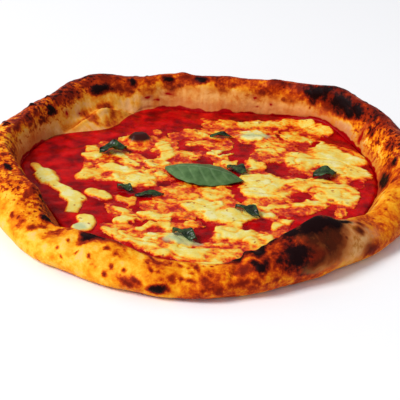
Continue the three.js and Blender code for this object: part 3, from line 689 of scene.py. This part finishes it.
def pool_share(local, x, y, half_long, half_wide, turned, outer=1.45, inner=0.7):
    """1 inside a pool with round ends, 0 well outside it."""
    c, s = math.cos(math.radians(turned)), math.sin(math.radians(turned))
    from_middle = local - (x, y)
    along, across = np.abs(from_middle @ (c, s)), np.abs(from_middle @ (-s, c))
    half = min(half_long, half_wide)
    far = np.hypot(np.maximum(along - half_long + half, 0), np.maximum(across - half_wide + half, 0)) / half
    return smooth_step(outer, inner, far)


def cheese_field(flat, pools, film):
    """How much cheese lies at each point, from 0 to 1. Film is where a thin layer lies as well."""
    filmed = film.any()
    local = flat[:, :2] - centre + (1 if filmed else LOOSE_BEND) * wandering(flat, 20)
    most, left_bare = np.zeros(len(flat)), np.ones(len(flat))
    for x, y, half_long, half_wide, turned, richness in pools:
        here = richness / 100 * pool_share(local, x, y, half_long, half_wide, turned)
        most, left_bare = np.maximum(most, here), left_bare * (1 - here)
    curds = 0.5 * cloud(flat, 7, 2, seed=40) + 0.5 * cloud(flat, 2.4, 2, seed=41)
    rich = 0.75 * most + 0.25 * (1 - left_bare)
    rich = np.maximum(rich, film * np.clip(0.38 + 0.34 * curds, 0, 1))
    rich += 0.65 * curds * rich * (1 - rich)
    if filmed:
        seams = cloud(flat * (0.6, 1, 1), 11, 2, seed=42)
        rich *= 1 - SEAM_DEPTH * np.exp(-((seams / SEAM_WIDTH) ** 2))
        bare = np.max([pool_share(local, *window, outer=1, inner=0.55) for window in WINDOWS], axis=0)
        rich *= 1 - 0.93 * bare
    return rich


row_of_places = np.array([(0, 0), (5, 0), (8, 0)])
print("share inside, at and past a pool's edge:", pool_share(row_of_places, 0, 0, 5, 5, 0).round(2))

# %% [markdown]
# Rich places stand thick. The bubble is gas that lifted the cheese into the heat, so it scorched
# on top. Basil under the cheese shows through it as a green shade.

# %% Lay the cheese over the sauce
SCORCHED = -45, 47, 10, 8, 20  # the bubble, listed like a window
BUBBLE_HEIGHT = 5.4
SWELL, SUNK_SHARE = 1.9, 0.25  # the swell of the richest cheese in mm, and how much of it is sunk
HERBS = [(38, 69, 15, 7, 5), (-6, -86, 12, 5, -7), (-68, -82, 5, 5, 0)]  # listed like windows
CUT_BELOW = -0.3  # mm over the sauce


def cheese_points(flat, node, pools):
    """The grid's points at their heights, what is painted on them, and which are sunk."""
    film, bubble = np.zeros(len(flat)), np.zeros(len(flat))
    if pools is POOLS:
        edge = 3 * np.column_stack([cloud(flat, 6, 2, seed=50), cloud(flat, 6, 2, seed=51)])
        film = (heights_on(tree_of(nodes[node]), flat[:, :2] + edge) > 0).astype(float)
        bubble = pool_share(flat[:, :2] - centre, *SCORCHED, outer=1.3, inner=0.2)
    rich = cheese_field(flat, pools, film)
    ground = heights_on(sauce_tree, flat)
    thick = SWELL * (np.maximum(rich, 0.01) ** 0.8 - SUNK_SHARE)
    wet = 0.12 * cloud(flat, 3.5, 2, seed=60) + 0.35 * cloud(flat, 11, 1, seed=61)
    thick = thick + wet * smooth_step(0, 1, thick) + BUBBLE_HEIGHT * bubble**1.5
    raised = flat.copy()
    raised[:, 2] = ground + np.maximum(thick, -1)
    local = flat[:, :2] - centre + wandering(flat, 80)
    herbs = np.max([pool_share(local, *leaf, outer=1.4, inner=0.3) for leaf in HERBS], axis=0)
    return raised, {"rich": rich, "scorch": bubble, "herb": herbs}, (thick < CUT_BELOW) | (ground <= 0)


print("the richest cheese stands", round(SWELL * (1 - SUNK_SHARE), 2), "mm over the sauce")

# %% [markdown]
# The cut grid is one open sheet. To close it, its faces are copied by an extrusion, so that the
# walls at its edge come with them, and the copy is sunk into the sauce as a hidden underside.

# %% Cut the grid out and close it
GRID_STEP = 0.8
MARGIN = 3  # mm round the solid's box
UNDERSIDE = 0.9  # mm below the surface of the sauce


def move_points(bm, places, **layers):
    """Moves the points to places in mm and stores one number per point under each name."""
    stores = [bm.verts.layers.float.new(name) for name in layers]
    for vertex, place, *values in zip(bm.verts, places * MM, *layers.values()):
        vertex.co = place
        for store, value in zip(stores, values):
            vertex[store] = value


def second_side(bm):
    """Copies an open sheet's faces, joined by a wall along its edge, and gives the copy's points."""
    copied = bmesh.ops.extrude_face_region(bm, geom=list(bm.faces), use_keep_orig=True)
    return [part for part in copied["geom"] if isinstance(part, bmesh.types.BMVert)]


def melted_cheese(node, pools):
    """The piece of cheese that stands for the node."""
    low, high = (np.array(corner)[:2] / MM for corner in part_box(node))
    low, high = low - MARGIN, high + MARGIN
    columns, lines = np.ceil((high - low) / GRID_STEP).astype(int)
    bm = bmesh.new()
    bmesh.ops.create_grid(bm, x_segments=columns, y_segments=lines, size=0.5)
    bmesh.ops.scale(bm, vec=(*((high - low) * MM), 1), verts=bm.verts)
    bmesh.ops.translate(bm, vec=(*((high + low) / 2 * MM), 0), verts=bm.verts)
    flat = np.array([v.co[:] for v in bm.verts]) / MM
    raised, painted_on, sunk = cheese_points(flat, node, pools)
    move_points(bm, raised, **painted_on)
    gone = [vertex for vertex, is_sunk in zip(bm.verts, sunk) if is_sunk]
    while gone:  # points left without faces, or where two faces meet at a corner only, go next
        bmesh.ops.delete(bm, geom=gone, context="VERTS")
        gone = [v for v in bm.verts if not v.link_faces or sum(e.is_boundary for e in v.link_edges) > 2]
    lower = second_side(bm)
    ground = heights_on(sauce_tree, np.array([v.co[:] for v in lower]) / MM, missing=6)
    for vertex, sauce_height in zip(lower, ground):
        vertex.co.z = (sauce_height - UNDERSIDE) * MM
    return finished(mesh_of(bm, "melted_" + node), node)


cheeses = [melted_cheese(node, pools) for node, pools in (("cheese_sheet", POOLS), *LOOSE_POOLS.items())]

# %% [markdown]
# ## The basil
# A leaf is a thin sheet with a raised or hollow midrib, side veins and blistered skin between
# them. It starts as a flat grid, tip to tip along X, takes its outline and bend, gets its
# thickness by an extrusion, and lies where the frame's leaf lies.

# %% Shape a leaf
LEAF_THICKNESS = 0.5
LEAST_GAP = 0.25  # mm between a leaf and what it lies on
VEINS = 7  # side veins on each half
PUFF = 0.5  # mm: how far the skin swells between them


def leaf_surface(grid, seed, length, width, cup, wave, droop):
    """Places in mm and the vein depth, for a grid of shares along and sides across."""
    share, side = grid
    outline = np.sin(np.pi * share**0.85) ** (1.15 - 0.35 * share)
    outline = np.maximum(outline, 0.03) * (1 + 0.03 * np.sin(40 * share) * (np.abs(side) > 0.9))
    x = length * (share - 0.5)
    y = width / 2 * outline * side
    vein_at = (share * VEINS - 1.4 * np.abs(side) ** 1.3) % 1
    vein = np.exp(-(((np.abs(vein_at - 0.5) - 0.5) / 0.1) ** 2)) * smooth_step(0.95, 0.6, np.abs(side))
    midrib = np.exp(-((side / 0.05) ** 2))
    z = cup * np.abs(side) ** 1.4 * np.sin(np.pi * share) - droop * (2 * share - 1) ** 2
    z += wave * np.sin(9 * share + 2 * side) * np.abs(side)
    z += PUFF * (1 - vein) * (1 - midrib) * np.sin(np.pi * np.clip(share, 0, 1))
    z += wave * 0.5 * cloud(np.stack([x, y, 0 * x], axis=-1), width / 4, 2, seed=seed)
    return np.stack([x, y, z], axis=-1), np.maximum(0.6 * vein, midrib)


def leaf_piece(name, node, slot, steps, strips, seed, x, y, turned, *shape):
    """A leaf with its middle at x, y, laid down until it meets the toppings."""
    bm = bmesh.new()
    bmesh.ops.create_grid(bm, x_segments=steps, y_segments=strips, size=0.5)
    flat = np.array([v.co[:] for v in bm.verts])
    places, vein = leaf_surface((flat[:, 0] + 0.5, 2 * flat[:, 1]), seed, *shape)
    c, s = math.cos(math.radians(turned)), math.sin(math.radians(turned))
    places[:, :2] = places[:, :2] @ np.array([[c, s], [-s, c]]) + (x, y) + centre
    places[:, 2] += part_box(node)[0].z / MM - places[:, 2].min()
    gap = places[:, 2] - heights_on(toppings, places)
    places[:, 2] += np.maximum(LEAST_GAP - gap, 0) * smooth_step(3, 0, gap) - max(gap.min(), 0)
    move_points(bm, places, vein=vein)
    bmesh.ops.translate(bm, vec=(0, 0, LEAF_THICKNESS * MM), verts=second_side(bm))
    print(name, "hung", gap.min().round(1), "to", gap.max().round(1), "mm over the toppings")
    return finished(mesh_of(bm, name), node)

# %% [markdown]
# One leaf was laid on whole after baking and arches over the toppings. The others went through the
# oven, so they are smaller and curled. A row is a leaf's middle in mm from the centre, the turn of
# its length, its length and width, and how far it cups, waves and droops.

# %% Lay the leaves on the toppings
FRESH = (3, -2, -11, 54, 32, -6, 0.7, 5)
BAKED = [
    (25, 8, -30, 16, 11, 0.6, 1.1, 1), (-61, 24, 26, 20, 11, 1.4, 1.8, 1), (13, 62, 8, 16, 5, 1, 0.6, 1),
    (85, 12, 22, 18, 12, 0.9, 1.2, 1), (-47, -30, -30, 13, 7, 0.8, 1.2, 0.6),
    (-31, -35, 15, 19, 6, 0.4, 0.6, 0.5), (32, -50, -38, 20, 9, 1.4, 1.4, 1),
    (-6, -85, -32, 18, 9, 1, 1.6, 1),
]
toppings = tree_of(sauce, *cheeses)
fresh_leaf = leaf_piece("fresh_basil_leaf", "fresh_leaf", "fresh_basil", 110, 64, 70, *FRESH)
baked_leaves = [
    leaf_piece(f"baked_basil_{k}", f"baked_leaf_{k}", "baked_basil", 44, 24, 70 + k, *leaf)
    for k, leaf in enumerate(BAKED, 1)
]

# %% [markdown]
# ## Finishes
# Colours are written as hex values, as on a screen. Blender mixes light in linear numbers, where
# a screen's middle grey is only about a fifth of white, so one function turns them over.

# %% Colours
def colour(hex_value):
    """The linear colour of an sRGB hex value."""
    parts = [int(hex_value[k : k + 2], 16) / 255 for k in (1, 3, 5)]
    return (*[p / 12.92 if p <= 0.04045 else ((p + 0.055) / 1.055) ** 2.4 for p in parts], 1)


print("middle grey:", [round(part, 3) for part in colour("#808080")])

# %% [markdown]
# A material is a tree of nodes. One function adds a node with its settings and links, and gives
# the output that the next node reads. For each material it is tied to that material's own tree.
# A noise is listed by its size in mm, its detail and its roughness.

# %% Nodes and materials
def feed(node, inputs):
    """Sets the node's inputs to values, or links them to sockets."""
    for key, value in inputs.items():
        if isinstance(value, bpy.types.NodeSocket):
            node.id_data.links.new(value, node.inputs[key])
        else:
            node.inputs[key].default_value = value


def add_node(tree, kind, inputs=(), gives=0, stops=(), **settings):
    """One output of a new node. Inputs come by name or in order, stops are for a colour ramp."""
    node = tree.nodes.new("ShaderNode" + kind)
    for key, value in settings.items():
        setattr(node, key, value)
    feed(node, inputs if isinstance(inputs, dict) else dict(enumerate(inputs)))
    for k, (position, shade) in enumerate(stops):
        element = node.color_ramp.elements[k] if k < 2 else node.color_ramp.elements.new(position)
        element.position, element.color = position, colour(shade)
    return node.outputs[gives]


def finish_named(name, pieces, paints="", noises=()):
    """A new material: what adds its nodes, its shader, its paints and its noises."""
    material = bpy.data.materials.new(name)
    material.use_nodes = True
    for piece in pieces:
        piece.data.materials.append(material)
    tree = material.node_tree
    add = partial(add_node, tree)
    where = add("TexCoord", gives="Object")
    painted = {paint: add("Attribute", gives="Fac", attribute_name=paint) for paint in paints.split()}
    noise_outputs = [
        add("TexNoise", {"Vector": where, "Scale": PER_MM / size, "Detail": detail, "Roughness": rough})
        for size, detail, rough in noises
    ]
    return add, tree.nodes["Principled BSDF"], painted, noise_outputs


PER_MM = 1000  # a noise of scale PER_MM / 4 changes over about 4 mm
BUMP_DEPTH = 0.8 * MM
GLOSS = "Specular IOR Level"
TIMES_PLUS = {"operation": "MULTIPLY_ADD"}  # Math: the first input times the second, plus the third
SOFTLY = {"interpolation_type": "SMOOTHSTEP"}  # Map Range
OVER = {"data_type": "RGBA", "gives": 2}  # Mix: colour 7 laid over colour 6
print("a noise of 4 mm has a scale of", PER_MM / 4)

# %% [markdown]
# **Baked dough.** Flour and water baked hard at 450 degrees: a satin skin that browns through
# golden and orange to dark brown, then chars matt black. The painted tone is broken up by noises
# of three sizes, as small bubbles and flour do to the real skin.

# %% Work out the tone of the dough
add, dough_shader, painted, (mottle, grain, freckles) = finish_named(
    "baked_dough", [crust], "bake char brown stain flour pit wall speck streak under",
    [(8, 5, 0.62), (2.4, 4, 0.7), (2.6, 2, 0.5)],
)
uneven = add("Math", (mottle, 1, -0.9), **TIMES_PLUS)
uneven = add("Math", (grain, 0.8, uneven), **TIMES_PLUS)
swing = add("Math", (painted["bake"], 0.9, 0.25), **TIMES_PLUS)
tone = add("Math", (uneven, swing, painted["bake"]), **TIMES_PLUS)
speckles = add("Math", (painted["speck"], 0.24, -0.24), **TIMES_PLUS)
speckles = add("Math", (freckles, 1, speckles), **TIMES_PLUS)
speckles = add("MapRange", (speckles, 0.48, 0.58, 0, 1), **SOFTLY)
for darker, share in ((painted["streak"], 0.22), (painted["pit"], 0.15), (speckles, 0.28)):
    tone = add("Math", (darker, share, tone), **TIMES_PLUS)
browned = add("Math", (uneven, 0.8, painted["brown"]), **TIMES_PLUS)
browned = add("MapRange", (browned, 0.12, 1, 0, 1), **SOFTLY)
deeper = add("Math", (tone, 0.78), operation="MAXIMUM")
tone = add("Mix", {0: browned, 2: tone, 3: deeper})
print("tone:", len(dough_shader.id_data.nodes), "nodes")

# %% [markdown]
# Two ramps turn the tone into colour: a warm one where the skin met the heat, and a duller one
# that paints shade on the inner wall at the back and on the left. Stains, flour and char are laid
# over it, each cut off along the noise, so that their edges look burnt.

# %% Colour the dough
dough = add("ValToRGB", {"Fac": tone}, stops=[
    (0, "#E0B27A"), (1, "#1C0806"), (0.1, "#E8B868"), (0.2, "#F2BA38"), (0.3, "#F09E18"), (0.42, "#E27A08"),
    (0.54, "#C64A06"), (0.66, "#9C2A06"), (0.78, "#6E1606"), (0.89, "#420C08"),
])
# painted shade: a duller ramp for the inner wall that the main light leaves in shade
painted_shade_dough = add("ValToRGB", {"Fac": tone}, stops=[
    (0, "#EAA85E"), (1, "#1C0806"), (0.12, "#E0984A"), (0.25, "#D47E30"), (0.4, "#C2601A"),
    (0.55, "#A03E0E"), (0.75, "#6A1C08"),
])
dough = add("Mix", {0: painted["wall"], 6: dough, 7: painted_shade_dough}, **OVER)
# pink: sauce stain, and painted reddish shade at the foot of the wall
pink_stain_and_shade = add("Math", (uneven, 0.4, painted["stain"]), **TIMES_PLUS)
pink_stain_and_shade = add("MapRange", (pink_stain_and_shade, 0.05, 0.6, 0, 0.62), **SOFTLY)
splash = add("MapRange", (painted["stain"], 0.6, 0.84, 0, 1), **SOFTLY)
flour_tone = add("Math", (browned, -0.8, 0.72), **TIMES_PLUS)
flour_tone = add("Math", (uneven, 1.4, flour_tone), **TIMES_PLUS)
tan = add("ValToRGB", {"Fac": flour_tone}, stops=[
    (0.1, "#3E1A0A"), (0.85, "#E2AE70"), (0.35, "#84401A"), (0.6, "#C07C40"),
])
bare_flour = add("Math", (painted["flour"], 0.85), operation="MULTIPLY")
bare_flour = add("Math", (bare_flour, painted["under"]), operation="MAXIMUM")
burnt = add("Math", (uneven, 0.55, painted["char"]), **TIMES_PLUS)
burnt = add("MapRange", (burnt, 0.32, 0.7, 0, 1), **SOFTLY)
STAIN_AND_SHADE_PINK, SAUCE_RED, CHAR_BLACK = colour("#B84A22"), colour("#9C0208"), colour("#160506")
for cover, coat in ((pink_stain_and_shade, STAIN_AND_SHADE_PINK), (splash, SAUCE_RED), (bare_flour, tan), (burnt, CHAR_BLACK)):
    dough = add("Mix", {0: cover, 6: dough, 7: coat}, **OVER)
roughness = add("MapRange", (grain, 0.3, 0.7, 0.42, 0.62))
for cover, change in ((splash, -0.2), (painted["flour"], 0.3)):
    roughness = add("Math", (cover, change, roughness), **TIMES_PLUS)
bump = add("Bump", {"Height": grain, "Strength": 0.35, "Distance": BUMP_DEPTH})
feed(dough_shader, {"Base Color": dough, "Normal": bump, "Roughness": roughness, "IOR": 1.45, GLOSS: 0.06})
print("crust:", len(dough_shader.id_data.nodes), "nodes")

# %% [markdown]
# **Tomato sauce.** A wet red gel with shreds of pulp: the water on it mirrors the light in small
# sharp glints, and light that enters comes out a deeper red.

# %% Tomato sauce
add, sauce_shader, painted, (shreds, seeds) = finish_named(
    "wet_tomato_sauce", [sauce], "pulp", [(9, 4, 0.5), (2, 3, 0.6)]
)
juice = add("Math", (painted["pulp"], 0.2, shreds), **TIMES_PLUS)
red = add("ValToRGB", {"Fac": juice}, stops=[
    (0.3, "#680006"), (0.8, "#D80C0C"), (0.45, "#900006"), (0.58, "#B20208"),
])
bump = add("Bump", {"Height": seeds, "Strength": 0.3, "Distance": BUMP_DEPTH})
feed(sauce_shader, {"Base Color": red, "Normal": bump, "Roughness": 0.14, "IOR": 1.36, GLOSS: 0.07})
print("sauce:", len(sauce_shader.id_data.nodes), "nodes")

# %% [markdown]
# **Melted mozzarella.** Milk fat and protein under a film of hot oil. Where it is thick it is pale
# yellow, where it is thin the tomato shines through it orange and it breaks up, and browned specks
# sit on it.

# %% Melted mozzarella
add, cheese_shader, painted, (curdle, crumbs, golden, spotted, oil) = finish_named(
    "melted_mozzarella", cheeses, "rich scorch herb",
    [(5, 5, 0.65), (1.8, 3, 0.6), (14, 2, 0.5), (4.5, 1, 0.5), (3, 3, 0.6)],
)
curdle, crumbs = (add("Math", (noise, -0.5), operation="ADD") for noise in (curdle, crumbs))
thinness = add("Math", (painted["rich"], -1, 1.15), **TIMES_PLUS)
crumbs = add("Math", (crumbs, thinness), operation="MULTIPLY")
shade = painted["rich"]
for unevenness in (golden, curdle, crumbs):
    shade = add("Math", (unevenness, 0.9, shade), **TIMES_PLUS)
shade = add("Math", (shade, -0.47), operation="ADD")
melted = add("ValToRGB", {"Fac": shade}, stops=[
    (0.14, "#A80404"), (1, "#E9DF9A"), (0.26, "#C82806"), (0.38, "#E4580A"), (0.5, "#F08C14"),
    (0.62, "#EFB430"), (0.74, "#EBCC58"), (0.87, "#E7D46C"),
])
brown_specks = add("MapRange", (spotted, 0.68, 0.74, 0, 0.8))
green_cover = add("Math", (curdle, 0.9, painted["herb"]), **TIMES_PLUS)
green_cover = add("MapRange", (green_cover, 0.2, 1, 0, 0.75))
scorch_cover = add("Math", (curdle, 0.4, painted["scorch"]), **TIMES_PLUS)
scorch_cover = add("MapRange", (scorch_cover, 0.35, 0.7, 0, 1), **SOFTLY)
for cover, coat in ((brown_specks, "#A8460C"), (green_cover, "#A9BC8C"), (scorch_cover, "#3A0C06")):
    melted = add("Mix", {0: cover, 6: melted, 7: colour(coat)}, **OVER)
bump = add("Bump", {"Height": oil, "Strength": 0.15, "Distance": BUMP_DEPTH})
feed(cheese_shader, {"Base Color": melted, "Normal": bump, "Roughness": 0.34, "IOR": 1.42, GLOSS: 0.22})
print("cheese:", len(cheese_shader.id_data.nodes), "nodes")

# %% [markdown]
# **Basil.** A fresh leaf is satin mid-green with paler veins. The heat of the oven dries the
# others to a dark olive, nearly black in places.

# %% Fresh and baked basil
LEAF_FINISHES = [
    ("fresh_basil_leaf", [fresh_leaf], "#3A5A2C", "#5A7A48", "#86A070", 0.5, 8),
    ("baked_basil_leaf", baked_leaves, "#040605", "#38542A", "#2C3A22", 0.32, 4),
]
for name, leaves, dark, light, veined, leaf_rough, blotch_size in LEAF_FINISHES:
    add, leaf_shader, painted, (blotch, cells) = finish_named(
        name, leaves, "vein", [(blotch_size, 4, 0.6), (1.5, 2, 0.5)]
    )
    green = add("ValToRGB", {"Fac": blotch}, stops=[(0.36, dark), (0.66, light)])
    lined = add("Math", (painted["vein"], 0.35), operation="MULTIPLY")
    green = add("Mix", {0: lined, 6: green, 7: colour(veined)}, **OVER)
    bump = add("Bump", {"Height": cells, "Strength": 0.2, "Distance": 0.3 * MM})
    feed(leaf_shader, {"Base Color": green, "Normal": bump, "Roughness": leaf_rough, GLOSS: 0.25})
    print(name + ":", len(leaf_shader.id_data.nodes), "nodes")

# %% [markdown]
# ## The studio
# The pizza stands on a plain pale floor that fades into a near-white surround. The main light is a
# large soft panel up on the left, towards the viewer, so the inner wall on the right is lit and
# the one on the left lies in shade.

# %% Floor and light
bm = bmesh.new()
bmesh.ops.create_grid(bm, x_segments=1, y_segments=1, size=6)
floor = in_scene("studio_floor", mesh_of(bm, "studio_floor"))
floor_shader = finish_named("white_paper", [floor])[1]
feed(floor_shader, {"Base Color": colour("#FAFAFB"), "Roughness": 0.9})

world = bpy.data.worlds.new("surround")
bpy.context.scene.world = world
world.use_nodes = True
feed(world.node_tree.nodes["Background"], {"Color": colour("#FAFBFF"), "Strength": 0.48})

PANEL_PLACE = Vector((-2.7, -1.5, 2.9))  # m
PANEL_SIZE = 1.5
PANEL_POWER = 162  # W
light = bpy.data.lights.new("main_panel", "AREA")
light.energy, light.size = PANEL_POWER, PANEL_SIZE
panel = in_scene("main_panel", light)
panel.location = PANEL_PLACE
panel.rotation_euler = (-PANEL_PLACE).to_track_quat("-Z", "Y").to_euler()
print("panel:", round(PANEL_PLACE.length, 2), "m away")

# %% [markdown]
# The camera looks down at 28 degrees from 67 cm away, turned a little to one side about its own
# axis. The view transform is the plain one, which keeps the food's colours as strong as they are.

# %% Camera
LENS, SENSOR = 90, 36  # mm
ELEVATION = 28.4
CAMERA_PLACE = (-0.35, -596.3, 311.0)
TILT = 4.42  # clockwise
camera = in_scene("camera", bpy.data.cameras.new("camera"))
camera.data.lens, camera.data.sensor_width = LENS, SENSOR
camera.location = Vector(CAMERA_PLACE) * MM
camera.rotation_euler = (math.radians(90 - ELEVATION), 0, 0)
camera.rotation_euler.rotate_axis("Z", math.radians(TILT))
bpy.context.scene.camera = camera
bpy.context.scene.view_settings.view_transform = "Standard"
print("camera:", round(camera.location.length, 3), "m away")
